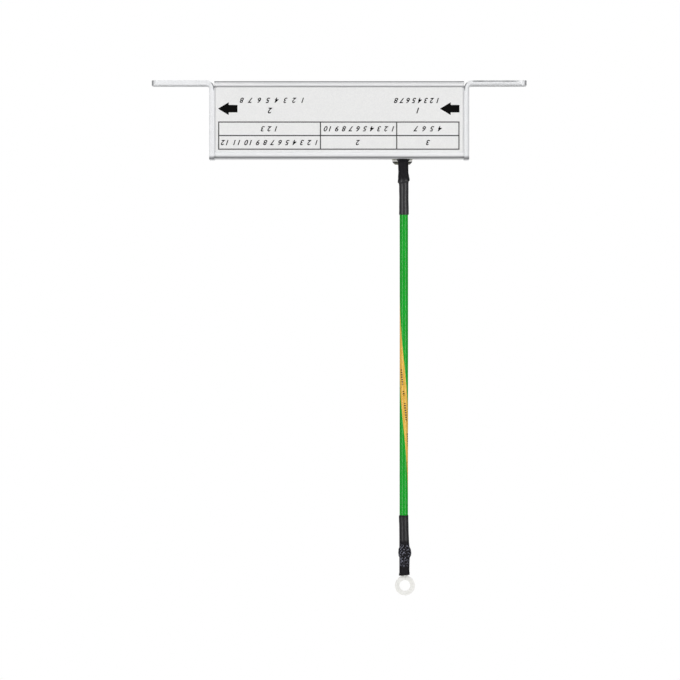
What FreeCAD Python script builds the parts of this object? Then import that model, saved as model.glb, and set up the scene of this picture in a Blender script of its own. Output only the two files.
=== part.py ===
import FreeCAD, Part
import math
import os
import Sketcher

# An in-line surge protector for a network cable, hung by its two ears.
# The frame's origin lies midway between the ear slots, on the mounting plane: X runs from
# the OUT socket to the IN socket, -Y is the labelled face, Z is up and the earth lead
# hangs down. Lengths are millimetres and angles degrees.

V = FreeCAD.Vector
UP = V(0, 0, 1)

# Driving dimensions, each written once.
SIZES = {
    # extruded aluminium box
    "body_length": 100.0,
    "body_width": 28.0,
    "body_height": 31.0,
    "body_wall": 1.6,
    "body_corner": 2.0,
    "body_drop": 0.3,
    "port_inset_y": 3.4,
    "port_inset_z": 5.5,
    "port_radius": 2.1,
    "port_bore": 1.3,
    "rib_thick": 0.9,
    "rib_reach": 1.2,
    "rib_root": 0.3,
    "bed_depth": 0.4,
    "bed_margin": 2.1,
    # label film in the front's shallow bed
    "label_thick": 0.1,
    "label_margin": 0.4,
    "label_corner": 1.0,
    # bent end plates with their ears
    "plate_thick": 2.0,
    "plate_height": 31.6,
    "plate_width": 29.0,
    "bend_inner": 1.2,
    "ear_length": 23.0,
    "ear_corner": 3.0,
    "slot_width": 4.5,
    "slot_length": 7.0,
    "slot_offset": 11.5,
    "window_play": 0.15,
    # countersunk screws of the end plates
    "end_screw_radius": 1.2,
    "end_screw_length": 8.0,
    "end_head_radius": 2.35,
    "end_head_depth": 1.15,
    "end_hole_play": 0.12,
    "end_head_sink": 0.05,
    "end_recess_reach": 1.3,
    "end_recess_width": 0.6,
    "end_recess_depth": 0.7,
    # circuit board
    "board_depth": 8.6,
    "board_thick": 1.6,
    "board_play": 0.2,
    "board_end_gap": 0.5,
    # modular sockets
    "jack_width": 16.0,
    "jack_height": 13.4,
    "jack_length": 21.0,
    "jack_inset": 0.2,
    "shell_thick": 0.3,
    "mouth_play": 0.1,
    "plug_width": 11.9,
    "plug_height": 6.8,
    "plug_depth": 15.0,
    "plug_ceiling": 3.0,
    "latch_width": 6.2,
    "latch_depth": 1.6,
    "catch_width": 3.4,
    "catch_depth": 1.2,
    "peg_radius": 1.5,
    "peg_play": 0.1,
    "peg_spacing": 11.43,
    "peg_setback": 12.5,
    "contact_pitch": 1.016,
    "contact_width": 0.4,
    "contact_thick": 0.3,
    "contact_setback": 2.5,
    "contact_foot": 1.5,
    "contact_run": 8.0,
    "contact_dip": 2.0,
    # gas tubes, each of three square electrodes and two square ceramic blocks
    "tube_length": 7.6,
    "electrode_side": 5.0,
    "electrode_thick": 1.0,
    "ceramic_side": 4.2,
    # diodes and resistors
    "diode_length": 3.4,
    "diode_width": 3.6,
    "diode_height": 2.2,
    "diode_gap_x": 1.6,
    "diode_gap_y": 2.0,
    "diode_setback": 1.6,
    "diode_foot_length": 1.2,
    "diode_foot_thick": 0.2,
    "resistor_length": 3.2,
    "resistor_width": 1.6,
    "resistor_height": 0.6,
    "resistor_gap": 0.8,
    # earth screw, washers, nut and the strap to the board
    "screw_setback": 24.7,
    "screw_radius": 2.0,
    "screw_length": 10.0,
    "screw_head_radius": 3.9,
    "screw_head_height": 1.2,
    "screw_head_chamfer": 0.9,
    "screw_recess_reach": 2.1,
    "screw_recess_width": 0.9,
    "screw_recess_depth": 0.8,
    "screw_hole_play": 0.15,
    "toothed_thick": 0.35,
    "toothed_radius": 3.2,
    "tooth_reach": 4.2,
    "tooth_width": 1.0,
    "strap_thick": 0.6,
    "strap_width": 8.0,
    "strap_reach": 4.5,
    "strap_bend": 0.6,
    "spring_washer_thick": 0.9,
    "spring_washer_radius": 3.7,
    "spring_washer_split": 0.8,
    "nut_flats": 7.0,
    "nut_height": 3.2,
    "nut_play": 0.05,
    # earth lug and ring terminal, pressed from the same strip
    "strip_thick": 0.7,
    "strip_width": 3.0,
    "ring_radius": 4.0,
    "eye_radius": 2.15,
    "strip_reach": 7.6,
    "strip_bend": 0.4,
    "barrel_radius": 1.5,
    "barrel_bore": 0.95,
    "barrel_length": 4.5,
    "barrel_drop": 1.9,
    "lug_turn": 4.5,
    # green and yellow earth lead with its two sleeves
    "wire_radius": 1.7,
    "wire_bore": 0.85,
    "core_radius": 0.8,
    "core_reach": 4.0,
    "wire_gap": 0.2,
    "wire_visible": 120.4,
    "sleeve_clear": 0.3,
    "sleeve_play": 0.05,
    "upper_sleeve_length": 22.1,
    "upper_sleeve_radius": 1.95,
    "upper_swell_radius": 2.3,
    "upper_swell_top": 6.0,
    "upper_swell_end": 9.7,
    "upper_tail_radius": 1.9,
    "lower_sleeve_length": 24.0,
    "lower_sleeve_radius": 1.95,
    "lower_swell_radius": 2.45,
    "lower_swell_place": 15.0,
    "lower_swell_half": 2.4,
    "lower_neck_radius": 1.95,
    "lower_bore": 1.8,
    "terminal_rise": 3.5,
    "terminal_lean": 3.1,
}
TOOTH_COUNT = 12
CONTACT_COUNT = 8
TUBE_COUNT = 4
DIODE_ROWS = 4
RESISTOR_COUNT = 8
FILM = 0.01

doc = FreeCAD.newDocument("SurgeProtector")
sheet = doc.addObject("Spreadsheet::Sheet", "Sizes")
PARTS = []


class Size:
    """A length or an angle: its number now, and the expression on the sheet that gives it."""

    def __init__(self, value, text):
        self.value = float(value)
        self.text = text

    def __add__(self, other):
        other = as_size(other)
        return Size(self.value + other.value, f"({self.text} + {other.text})")

    def __radd__(self, other):
        return as_size(other) + self

    def __sub__(self, other):
        other = as_size(other)
        return Size(self.value - other.value, f"({self.text} - {other.text})")

    def __rsub__(self, other):
        return as_size(other) - self

    def __mul__(self, other):
        other = as_size(other)
        return Size(self.value * other.value, f"({self.text} * {other.text})")

    def __rmul__(self, other):
        return as_size(other) * self

    def __truediv__(self, other):
        other = as_size(other)
        return Size(self.value / other.value, f"({self.text} / {other.text})")

    def __neg__(self):
        return as_size(0) - self


def as_size(amount):
    if isinstance(amount, Size):
        return amount
    return Size(amount, repr(float(amount)))


def sine(angle):
    return Size(math.sin(math.radians(angle.value)), f"sin({angle.text})")


def cosine(angle):
    return Size(math.cos(math.radians(angle.value)), f"cos({angle.text})")


class Named:
    """The driving dimensions, as attributes bound to the sheet's cells."""


s = Named()
for row, (name, number) in enumerate(SIZES.items(), start=1):
    sheet.set(f"B{row}", str(number))
    sheet.setAlias(f"B{row}", name)
    setattr(s, name, Size(number, f"Sizes.{name}"))
doc.recompute()


# Binding, placing and keeping objects.

def bind(obj, prop, amount):
    obj.setExpression(prop, as_size(amount).text)


def place(obj, x, y, z, axis=UP, angle=0):
    x, y, z = as_size(x), as_size(y), as_size(z)
    turn = FreeCAD.Rotation(axis, as_size(angle).value)
    obj.Placement = FreeCAD.Placement(V(x.value, y.value, z.value), turn)
    bind(obj, "Placement.Base.x", x)
    bind(obj, "Placement.Base.y", y)
    bind(obj, "Placement.Base.z", z)
    if isinstance(angle, Size):
        bind(obj, "Placement.Rotation.Angle", angle)
    return obj


def keep(obj, label):
    obj.Label = label
    PARTS.append(obj)
    return obj


# Part primitives and booleans.

def box(name, x0, x1, y0, y1, z0, z1):
    solid = doc.addObject("Part::Box", name)
    bind(solid, "Length", as_size(x1) - x0)
    bind(solid, "Width", as_size(y1) - y0)
    bind(solid, "Height", as_size(z1) - z0)
    return place(solid, x0, y0, z0)


TURNS = {"x": (V(0, 1, 0), 90), "y": (V(1, 0, 0), -90), "z": (UP, 0)}


def rod(name, radius, length, x, y, z, along="z"):
    solid = doc.addObject("Part::Cylinder", name)
    bind(solid, "Radius", radius)
    bind(solid, "Height", length)
    return place(solid, x, y, z, *TURNS[along])


def cone(name, start_radius, end_radius, length, x, y, z, along="z"):
    solid = doc.addObject("Part::Cone", name)
    bind(solid, "Radius1", start_radius)
    bind(solid, "Radius2", end_radius)
    bind(solid, "Height", length)
    return place(solid, x, y, z, *TURNS[along])


def fused(name, solids):
    result = doc.addObject("Part::MultiFuse", name)
    result.Shapes = solids
    result.Refine = True
    return result


def cut(name, base, tools):
    result = doc.addObject("Part::Cut", name)
    result.Base = base
    result.Tool = tools[0] if len(tools) == 1 else fused(name + "_tools", tools)
    return result


def group(name, solids):
    result = doc.addObject("Part::Compound", name)
    result.Links = solids
    return result


def mirrored(name, source, normal, middle=0):
    result = doc.addObject("Part::Mirroring", name)
    result.Source = source
    result.Normal = normal
    if isinstance(middle, Size):
        bind(result, "Base.z", middle)
    return result


# Bodies and sketches.

def new_body(name):
    return doc.addObject("PartDesign::Body", name)


def new_sketch(body, plane, lift=0):
    role = plane + "_Plane"
    support = [item for item in body.Origin.OriginFeatures if item.Role == role][0]
    sketch = body.newObject("Sketcher::SketchObject", body.Name + "_sketch")
    sketch.AttachmentSupport = [(support, "")]
    sketch.MapMode = "FlatFace"
    if isinstance(lift, Size):
        bind(sketch, "AttachmentOffset.Base.z", lift)
    return sketch


def pin(sketch, part, point, x, y):
    """Fix a point of the sketch at x, y, each from its own expression."""
    for kind, axis, amount in (("DistanceX", -2, as_size(x)), ("DistanceY", -1, as_size(y))):
        if amount.text == "0.0":
            sketch.addConstraint(Sketcher.Constraint("PointOnObject", part, point, axis))
        else:
            made = Sketcher.Constraint(kind, -1, 1, part, point, amount.value)
            bind(sketch, f"Constraints[{sketch.addConstraint(made)}]", amount)


def circle(sketch, x, y, radius):
    x, y, radius = as_size(x), as_size(y), as_size(radius)
    made = sketch.addGeometry(Part.Circle(V(x.value, y.value, 0), UP, radius.value), False)
    pin(sketch, made, 3, x, y)
    number = sketch.addConstraint(Sketcher.Constraint("Radius", made, radius.value))
    bind(sketch, f"Constraints[{number}]", radius)


def toward(here, there):
    """Sign of the way along each axis from one corner to the next, which share an axis."""
    return [(b.value > a.value + FILM) - (b.value < a.value - FILM) for a, b in zip(here, there)]


def outline(sketch, corners):
    """A closed outline of straight sides. A square corner with a third value is rounded by it."""
    points = [(as_size(c[0]), as_size(c[1])) for c in corners]
    ends = []
    arcs = []
    for i, corner in enumerate(corners):
        here = points[i]
        if len(corner) == 2:
            ends.append((here, here))
            arcs.append(None)
            continue
        radius = as_size(corner[2])
        back = toward(here, points[i - 1])
        ahead = toward(here, points[(i + 1) % len(points)])
        start = tuple(here[k] + back[k] * radius for k in (0, 1))
        end = tuple(here[k] + ahead[k] * radius for k in (0, 1))
        middle = V(*(here[k].value + (back[k] + ahead[k]) * radius.value for k in (0, 1)), 0)
        ends.append((start, end))
        arcs.append((radius, middle, back[0] * ahead[1] - back[1] * ahead[0] < 0))
    lines = []
    for i in range(len(points)):
        first = ends[i][1]
        last = ends[(i + 1) % len(points)][0]
        side = Part.LineSegment(V(first[0].value, first[1].value, 0),
                                V(last[0].value, last[1].value, 0))
        lines.append(sketch.addGeometry(side, False))
    for i, line in enumerate(lines):
        before = lines[i - 1]
        start, end = ends[i]
        pin(sketch, line, 1, *end)
        if arcs[i] is None:
            sketch.addConstraint(Sketcher.Constraint("Coincident", before, 2, line, 1))
            continue
        pin(sketch, before, 2, *start)
        radius, middle, left_turn = arcs[i]
        a, b = (start, end) if left_turn else (end, start)
        angles = [math.atan2(p[1].value - middle.y, p[0].value - middle.x) for p in (a, b)]
        if angles[1] < angles[0]:
            angles[1] += 2 * math.pi
        bend = Part.ArcOfCircle(Part.Circle(middle, UP, radius.value), *angles)
        made = sketch.addGeometry(bend, False)
        near, far = (1, 2) if left_turn else (2, 1)
        sketch.addConstraint(Sketcher.Constraint("Coincident", before, 2, made, near))
        sketch.addConstraint(Sketcher.Constraint("Coincident", line, 1, made, far))
        number = sketch.addConstraint(Sketcher.Constraint("Radius", made, radius.value))
        bind(sketch, f"Constraints[{number}]", radius)


def slot_outline(sketch, x, length, width):
    """A slot with full round ends, along the sketch's first axis and centred on x, 0."""
    radius = width / 2
    reach = (length - width) / 2
    lines = []
    for side in (1, -1):
        first = V((x - side * reach).value, side * radius.value, 0)
        last = V((x + side * reach).value, side * radius.value, 0)
        lines.append(sketch.addGeometry(Part.LineSegment(first, last), False))
    for line, side in zip(lines, (1, -1)):
        pin(sketch, line, 1, x - side * reach, side * radius)
        pin(sketch, line, 2, x + side * reach, side * radius)
    for side, start_line, end_line in ((1, lines[1], lines[0]), (-1, lines[0], lines[1])):
        centre = x + side * reach
        start = -side * math.pi / 2
        bend = Part.Circle(V(centre.value, 0, 0), UP, radius.value)
        made = sketch.addGeometry(Part.ArcOfCircle(bend, start, start + math.pi), False)
        sketch.addConstraint(Sketcher.Constraint("Coincident", made, 1, start_line, 1))
        sketch.addConstraint(Sketcher.Constraint("Coincident", made, 2, end_line, 2))
        spot = Sketcher.Constraint("DistanceX", -1, 1, made, 3, centre.value)
        bind(sketch, f"Constraints[{sketch.addConstraint(spot)}]", centre)


def rectangle(sketch, x0, x1, y0, y1, *radius):
    outline(sketch, [(x0, y0, *radius), (x1, y0, *radius), (x1, y1, *radius), (x0, y1, *radius)])


def cross(sketch, reach, width):
    """The outline of a cross recess, centred on the sketch's origin."""
    half = width / 2
    corners = [(reach, -half), (reach, half), (half, half)]
    for quarter in range(3):
        corners += [(-y, x) for x, y in corners[-3:]]
    outline(sketch, corners)


def pad(body, sketch, length, both=False, back=False):
    doc.recompute()
    feature = body.newObject("PartDesign::Pad", body.Name + "_pad")
    feature.Profile = sketch
    feature.SideType = "Symmetric" if both else "One side"
    feature.Reversed = back
    bind(feature, "Length", length)
    doc.recompute()
    return feature


def pocket(body, sketch, both=False, back=False, depth=None):
    doc.recompute()
    before = body.Shape.Volume
    feature = body.newObject("PartDesign::Pocket", body.Name + "_pocket")
    feature.Profile = sketch
    feature.SideType = "Symmetric" if both else "One side"
    feature.Reversed = back
    if depth is None:
        feature.Type = "ThroughAll"
    else:
        bind(feature, "Length", depth)
    doc.recompute()
    if body.Shape.Volume > before - FILM:
        raise RuntimeError(f"a pocket of {body.Name} cuts nothing")
    return feature


def revolved(body, sketch):
    doc.recompute()
    feature = body.newObject("PartDesign::Revolution", body.Name + "_turned")
    feature.Profile = sketch
    feature.ReferenceAxis = (sketch, ["V_Axis"])
    feature.Angle = 360
    doc.recompute()
    return feature


# Levels and places that several pieces share.

half_length = s.body_length / 2
half_width = s.body_width / 2
body_top = -s.body_drop
body_bottom = body_top - s.body_height
floor_top = body_bottom + s.body_wall
bed_face = half_width - s.bed_depth
bed_top = body_top - s.bed_margin
bed_low = body_bottom + s.bed_margin + s.label_margin
inner_side = half_width - s.body_wall
plate_face = half_length + s.plate_thick
port_y = half_width - s.port_inset_y
port_high = body_top - s.port_inset_z
port_low = body_bottom + s.port_inset_z
PORTS = ((port_y, port_high), (-port_y, port_low))
board_top = -s.board_depth
board_bottom = board_top - s.board_thick
jack_mouth = plate_face - s.jack_inset
jack_rear = jack_mouth - s.jack_length
jack_bottom = board_bottom - s.jack_height
ceiling = board_bottom - s.plug_ceiling
plug_floor = ceiling - s.plug_height
latch_floor = plug_floor - s.latch_depth
catch_floor = latch_floor - s.catch_depth
peg_x = jack_mouth - s.peg_setback
peg_y = s.peg_spacing / 2
screw_x = half_length - s.screw_setback
strap_heel = screw_x - s.strap_reach
strap_back = strap_heel - s.strap_thick
diode_start = -(jack_rear - s.diode_setback)
diode_step = s.diode_length + s.diode_gap_x
diode_end = diode_start + diode_step + s.diode_length
tube_step = (strap_back - diode_end) / TUBE_COUNT
lug_top = body_bottom - s.toothed_thick
head_top = lug_top - s.strip_thick
lead_x = screw_x + s.strip_reach * sine(s.lug_turn)
lead_y = -s.strip_reach * cosine(s.lug_turn)
upper_barrel_end = lug_top - s.barrel_drop - s.barrel_length
sleeve_top = body_bottom - s.sleeve_clear
sleeve_end = sleeve_top - s.upper_sleeve_length
lower_top = sleeve_end - s.wire_visible
lower_end = lower_top - s.lower_sleeve_length
terminal_z = lower_end + s.terminal_rise
lower_barrel_top = terminal_z + s.barrel_length / 2
wire_top = upper_barrel_end - s.wire_gap
wire_end = lower_barrel_top + s.wire_gap


def make_housing():
    """The box is an open extrusion with a bed for the label, board guides and two screw ports."""
    body = new_body("Housing")
    wall = new_sketch(body, "YZ")
    outline(wall, [
        (-half_width, body_top, s.body_corner),
        (-half_width, bed_top),
        (-bed_face, bed_top),
        (-bed_face, bed_low),
        (-half_width, bed_low),
        (-half_width, body_bottom, s.body_corner),
        (half_width, body_bottom, s.body_corner),
        (half_width, body_top, s.body_corner),
    ])
    rectangle(wall, -inner_side, inner_side, floor_top, body_top - s.body_wall)
    pad(body, wall, s.body_length, both=True)
    ribs = new_sketch(body, "YZ")
    for side in (-1, 1):
        root = side * (inner_side + s.rib_root)
        tip = side * (inner_side - s.rib_reach)
        upper = board_top + s.board_play
        rectangle(ribs, root, tip, upper, upper + s.rib_thick)
        rectangle(ribs, root, tip, board_bottom - s.rib_thick, board_bottom)
    pad(body, ribs, s.body_length, both=True)
    ports = new_sketch(body, "YZ")
    bores = new_sketch(body, "YZ")
    for y, z in PORTS:
        circle(ports, y, z, s.port_radius)
        circle(bores, y, z, s.port_bore)
    pad(body, ports, s.body_length, both=True)
    pocket(body, bores, both=True)
    hole = new_sketch(body, "XY", lift=(body_top + body_bottom) / 2)
    circle(hole, screw_x, 0, s.screw_radius + s.screw_hole_play)
    pocket(body, hole)
    keep(body, "housing")


def make_label():
    body = new_body("Label")
    film = new_sketch(body, "XZ", lift=bed_face)
    reach = half_length - s.label_margin
    rectangle(film, -reach, reach, bed_low + s.label_margin, bed_top - s.label_margin,
              s.label_corner)
    pad(body, film, s.label_thick)
    keep(body, "front_label")


def make_end_plates():
    """Each end is one bent plate: a wall with the socket's window, and an ear with its slot."""
    body = new_body("Plate")
    bent = new_sketch(body, "XZ")
    outline(bent, [
        (half_length, -s.plate_height),
        (plate_face, -s.plate_height),
        (plate_face, -s.plate_thick, s.bend_inner),
        (plate_face + s.ear_length, -s.plate_thick),
        (plate_face + s.ear_length, 0),
        (half_length, 0, s.bend_inner + s.plate_thick),
    ])
    pad(body, bent, s.plate_width, both=True)
    window = new_sketch(body, "YZ")
    half_window = s.jack_width / 2 + s.window_play
    rectangle(window, -half_window, half_window, jack_bottom - s.window_play,
              board_bottom + s.window_play)
    for y, z in PORTS:
        circle(window, y, z, s.end_screw_radius + s.end_hole_play)
    pocket(body, window, back=True)
    slot = new_sketch(body, "XY")
    slot_outline(slot, plate_face + s.slot_offset, s.slot_length, s.slot_width)
    pocket(body, slot)
    sinks = []
    sink_depth = s.end_head_depth + s.end_head_sink
    for y, z in PORTS:
        sinks.append(cone("Plate_sink", s.end_screw_radius + s.end_hole_play,
                          s.end_head_radius + s.end_hole_play, sink_depth,
                          plate_face - sink_depth, y, z, along="x"))
    corners = []
    half_plate = s.plate_width / 2
    for side in (-1, 1):
        x = plate_face + s.ear_length - s.ear_corner
        y = side * (half_plate - s.ear_corner)
        low = y if side > 0 else -half_plate
        block = box("Ear_corner", x, x + s.ear_corner, low, low + s.ear_corner,
                    -s.plate_thick, 0)
        disc = rod("Ear_round", s.ear_corner, s.plate_thick, x, y, -s.plate_thick)
        corners.append(cut("Ear_waste", block, [disc]))
    plate = keep(cut("Plate_in", body, sinks + corners), "end_plate_in")
    keep(mirrored("Plate_out", plate, V(1, 0, 0)), "end_plate_out")


def make_end_screws():
    """Two countersunk screws hold each plate, their heads flush with it."""
    screws = []
    head_face = plate_face - s.end_head_sink
    for y, z in PORTS:
        head = cone("End_head", s.end_screw_radius, s.end_head_radius, s.end_head_depth,
                    head_face - s.end_head_depth, y, z, along="x")
        shank = rod("End_shank", s.end_screw_radius, s.end_screw_length - s.end_head_depth,
                    head_face - s.end_screw_length, y, z, along="x")
        recess = []
        floor = head_face - s.end_recess_depth
        half = s.end_recess_width / 2
        reach = s.end_recess_reach
        for wide, tall in ((reach, half), (half, reach)):
            recess.append(box("End_recess", floor, plate_face, y - wide, y + wide,
                              z - tall, z + tall))
        screws.append(cut("End_screw", fused("End_blank", [head, shank]), recess))
    screws = keep(group("Screws_in", screws), "end_screws_in")
    keep(mirrored("Screws_out", screws, V(1, 0, 0)), "end_screws_out")


def make_board():
    body = new_body("Board")
    plan = new_sketch(body, "XY", lift=board_bottom)
    reach = half_length - s.board_end_gap
    edge = inner_side - s.board_play
    rectangle(plan, -reach, reach, -edge, edge)
    for side in (-1, 1):
        for y in (-peg_y, peg_y):
            circle(plan, side * peg_x, y, s.peg_radius + s.peg_play)
    pad(body, plan, s.board_thick)
    keep(body, "circuit_board")


def plug_space(name, x0, x1, play=0):
    """The hollow that a plug fills: a wide box with the latch's two steps below it."""
    half_plug = s.plug_width / 2 + play
    half_latch = s.latch_width / 2 + play
    half_catch = s.catch_width / 2 + play
    return [
        box(name + "_plug", x0, x1, -half_plug, half_plug, plug_floor - play, ceiling + play),
        box(name + "_latch", x0, x1, -half_latch, half_latch, latch_floor - play, plug_floor),
        box(name + "_catch", x0, x1, -half_catch, half_catch, catch_floor - play, latch_floor),
    ]


def make_jacks():
    """Each socket has a shell open to the board, a moulded insert and eight sprung contacts."""
    half = s.jack_width / 2
    inner = half - s.shell_thick
    front = jack_mouth - s.shell_thick
    floor = jack_bottom + s.shell_thick
    can = box("Can", jack_rear, jack_mouth, -half, half, jack_bottom, board_bottom)
    hollow = box("Can_hollow", jack_rear, front, -inner, inner, floor, board_bottom)
    mouth = plug_space("Can_mouth", front, jack_mouth, play=s.mouth_play)
    shell = keep(cut("Shell_in", can, [hollow] + mouth), "jack_shell_in")
    keep(mirrored("Shell_out", shell, V(1, 0, 0)), "jack_shell_out")

    block = box("Insert_block", jack_rear, front, -inner, inner, floor, board_bottom)
    posts = [rod("Insert_peg", s.peg_radius, s.board_thick, peg_x, y, board_bottom)
             for y in (-peg_y, peg_y)]
    hollows = plug_space("Insert", jack_mouth - s.plug_depth, front)
    insert = cut("Insert_in", fused("Insert_solid", [block] + posts), hollows)
    keep(insert, "jack_insert_in")
    keep(mirrored("Insert_out", insert, V(1, 0, 0)), "jack_insert_out")

    body = new_body("Contacts")
    rows = (CONTACT_COUNT - 1) * s.contact_pitch
    strip = new_sketch(body, "XZ", lift=(rows + s.contact_width) / 2)
    foot = front - s.contact_setback
    knee = foot - s.contact_foot
    tip = knee - s.contact_run
    low = ceiling - s.contact_thick
    outline(strip, [
        (foot, ceiling),
        (knee, ceiling),
        (tip, ceiling - s.contact_dip),
        (tip, low - s.contact_dip),
        (knee, low),
        (foot, low),
    ])
    first = pad(body, strip, s.contact_width, back=True)
    pattern = body.newObject("PartDesign::LinearPattern", "Contact_row")
    pattern.Originals = [first]
    pattern.Direction = (strip, ["N_Axis"])
    pattern.Reversed = True
    pattern.Occurrences = CONTACT_COUNT
    bind(pattern, "Length", rows)
    body.Tip = pattern
    keep(body, "jack_contacts_in")
    keep(mirrored("Contacts_out", body, V(1, 0, 0)), "jack_contacts_out")


def make_gas_tubes():
    """Four gas tubes sit across the board, each on the edges of its three square electrodes."""
    electrodes = []
    ceramics = []
    half = s.electrode_side / 2
    half_block = s.ceramic_side / 2
    middle = board_bottom - half
    block_length = (s.tube_length - 3 * s.electrode_thick) / 2
    pitch = block_length + s.electrode_thick
    for number in range(TUBE_COUNT):
        x = diode_end + tube_step * (number + 0.5)
        for place_y in (-1, 0, 1):
            low = place_y * pitch - s.electrode_thick / 2
            electrodes.append(box("Electrode", x - half, x + half, low, low + s.electrode_thick,
                                  board_bottom - s.electrode_side, board_bottom))
        for start in (s.electrode_thick / 2, -s.electrode_thick / 2 - block_length):
            ceramics.append(box("Ceramic", x - half_block, x + half_block, start,
                                start + block_length, middle - half_block,
                                middle + half_block))
    keep(group("Ceramics", ceramics), "gas_tube_ceramics")
    keep(group("Electrodes", electrodes), "gas_tube_electrodes")


def make_diodes():
    """Two columns of clamping diodes hang under the board, behind the OUT socket."""
    diodes = []
    feet = []
    top = board_bottom - s.diode_foot_thick
    pitch = s.diode_width + s.diode_gap_y
    for column in (0, 1):
        start = diode_start + column * diode_step
        end = start + s.diode_length
        for line in range(DIODE_ROWS):
            low = (line - DIODE_ROWS / 2) * pitch + s.diode_gap_y / 2
            diodes.append(box("Diode", start, end, low, low + s.diode_width,
                              top - s.diode_height, top))
            inset = s.diode_width / 4
            for foot in (start, end - s.diode_foot_length):
                feet.append(box("Diode_foot", foot, foot + s.diode_foot_length, low + inset,
                                low + s.diode_width - inset, top, board_bottom))
    keep(group("Diodes", diodes), "surge_diodes")
    keep(group("Diode_feet", feet), "diode_terminals")


def make_resistors():
    """A row of series resistors lies on top of the board, above the last of the diodes."""
    resistors = []
    pitch = s.resistor_width + s.resistor_gap
    for line in range(RESISTOR_COUNT):
        low = (line - RESISTOR_COUNT / 2) * pitch + s.resistor_gap / 2
        resistors.append(box("Resistor", diode_end - s.resistor_length, diode_end, low,
                             low + s.resistor_width, board_top,
                             board_top + s.resistor_height))
    keep(group("Resistors", resistors), "line_resistors")


def make_earth_strap():
    body = new_body("Strap")
    bent = new_sketch(body, "XZ")
    outline(bent, [
        (screw_x + s.strap_reach, floor_top),
        (screw_x + s.strap_reach, floor_top + s.strap_thick),
        (strap_heel, floor_top + s.strap_thick, s.strap_bend),
        (strap_heel, board_bottom),
        (strap_back, board_bottom),
        (strap_back, floor_top, s.strap_bend + s.strap_thick),
    ])
    pad(body, bent, s.strap_width, both=True)
    hole = new_sketch(body, "XY", lift=(board_bottom + floor_top) / 2)
    circle(hole, screw_x, 0, s.screw_radius + s.screw_hole_play)
    pocket(body, hole)
    keep(body, "earth_strap")


def make_screw_stack():
    """The earth screw passes up through washer, lug, box wall, strap, washer and nut."""
    body = new_body("Screw")
    turned = new_sketch(body, "XZ")
    outline(turned, [
        (0, -s.screw_head_height),
        (s.screw_head_radius - s.screw_head_chamfer, -s.screw_head_height),
        (s.screw_head_radius, s.screw_head_chamfer - s.screw_head_height),
        (s.screw_head_radius, 0),
        (s.screw_radius, 0),
        (s.screw_radius, s.screw_length),
        (0, s.screw_length),
    ])
    revolved(body, turned)
    recess = new_sketch(body, "XY", lift=-s.screw_head_height)
    cross(recess, s.screw_recess_reach, s.screw_recess_width)
    pocket(body, recess, back=True, depth=s.screw_recess_depth)
    place(body, screw_x, 0, head_top)
    keep(body, "ground_screw")

    washer = new_body("Toothed")
    ring = new_sketch(washer, "XY")
    circle(ring, 0, 0, s.toothed_radius)
    circle(ring, 0, 0, s.screw_radius + s.screw_hole_play)
    pad(washer, ring, s.toothed_thick)
    tooth = new_sketch(washer, "XY")
    outline(tooth, [
        (s.toothed_radius - s.toothed_thick, -s.tooth_width / 2),
        (s.tooth_reach, -s.tooth_width / 4),
        (s.tooth_reach, s.tooth_width / 2),
        (s.toothed_radius - s.toothed_thick, s.tooth_width / 2),
    ])
    first = pad(washer, tooth, s.toothed_thick)
    pattern = washer.newObject("PartDesign::PolarPattern", "Teeth")
    pattern.Originals = [first]
    pattern.Axis = (ring, ["N_Axis"])
    pattern.Angle = 360
    pattern.Occurrences = TOOTH_COUNT
    washer.Tip = pattern
    place(washer, screw_x, 0, lug_top)
    keep(washer, "lock_washer")

    washer_floor = floor_top + s.strap_thick
    spring = rod("Spring_ring", s.spring_washer_radius, s.spring_washer_thick,
                 screw_x, 0, washer_floor)
    bore = rod("Spring_bore", s.screw_radius + s.screw_hole_play, s.spring_washer_thick,
               screw_x, 0, washer_floor)
    half = s.spring_washer_split / 2
    split = box("Spring_split", screw_x, screw_x + s.spring_washer_radius,
                -half, half, washer_floor, washer_floor + s.spring_washer_thick)
    keep(cut("Spring_washer", spring, [bore, split]), "spring_washer")

    nut_floor = washer_floor + s.spring_washer_thick
    nut = doc.addObject("Part::Prism", "Nut_solid")
    nut.Polygon = 6
    bind(nut, "Circumradius", s.nut_flats / math.sqrt(3))
    bind(nut, "Height", s.nut_height)
    place(nut, screw_x, 0, nut_floor)
    thread = rod("Nut_bore", s.screw_radius + s.nut_play, s.nut_height, screw_x, 0,
                 nut_floor)
    keep(cut("Nut", nut, [thread]), "earth_nut")


def make_lug():
    """The lug's ring lies under the box, and its strip turns down into the barrel."""
    body = new_body("Lug")
    half = s.strip_thick / 2
    bent = new_sketch(body, "YZ")
    outline(bent, [
        (-s.eye_radius - half, 0),
        (-s.strip_reach - half, 0, s.strip_bend + s.strip_thick),
        (-s.strip_reach - half, -s.barrel_drop - half),
        (-s.strip_reach + half, -s.barrel_drop - half),
        (-s.strip_reach + half, -s.strip_thick, s.strip_bend),
        (-s.eye_radius - half, -s.strip_thick),
    ])
    pad(body, bent, s.strip_width, both=True)
    ring = new_sketch(body, "XY")
    circle(ring, 0, 0, s.ring_radius)
    pad(body, ring, s.strip_thick, back=True)
    barrel = new_sketch(body, "XY", lift=-s.barrel_drop)
    circle(barrel, 0, -s.strip_reach, s.barrel_radius)
    pad(body, barrel, s.barrel_length, back=True)
    bore = new_sketch(body, "XY", lift=-s.barrel_drop - s.strip_thick)
    circle(bore, 0, -s.strip_reach, s.barrel_bore)
    pocket(body, bore)
    eye = new_sketch(body, "XY")
    circle(eye, 0, 0, s.eye_radius)
    pocket(body, eye, depth=s.strip_thick)
    place(body, screw_x, 0, lug_top, angle=s.lug_turn)
    keep(body, "ground_lug")


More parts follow.
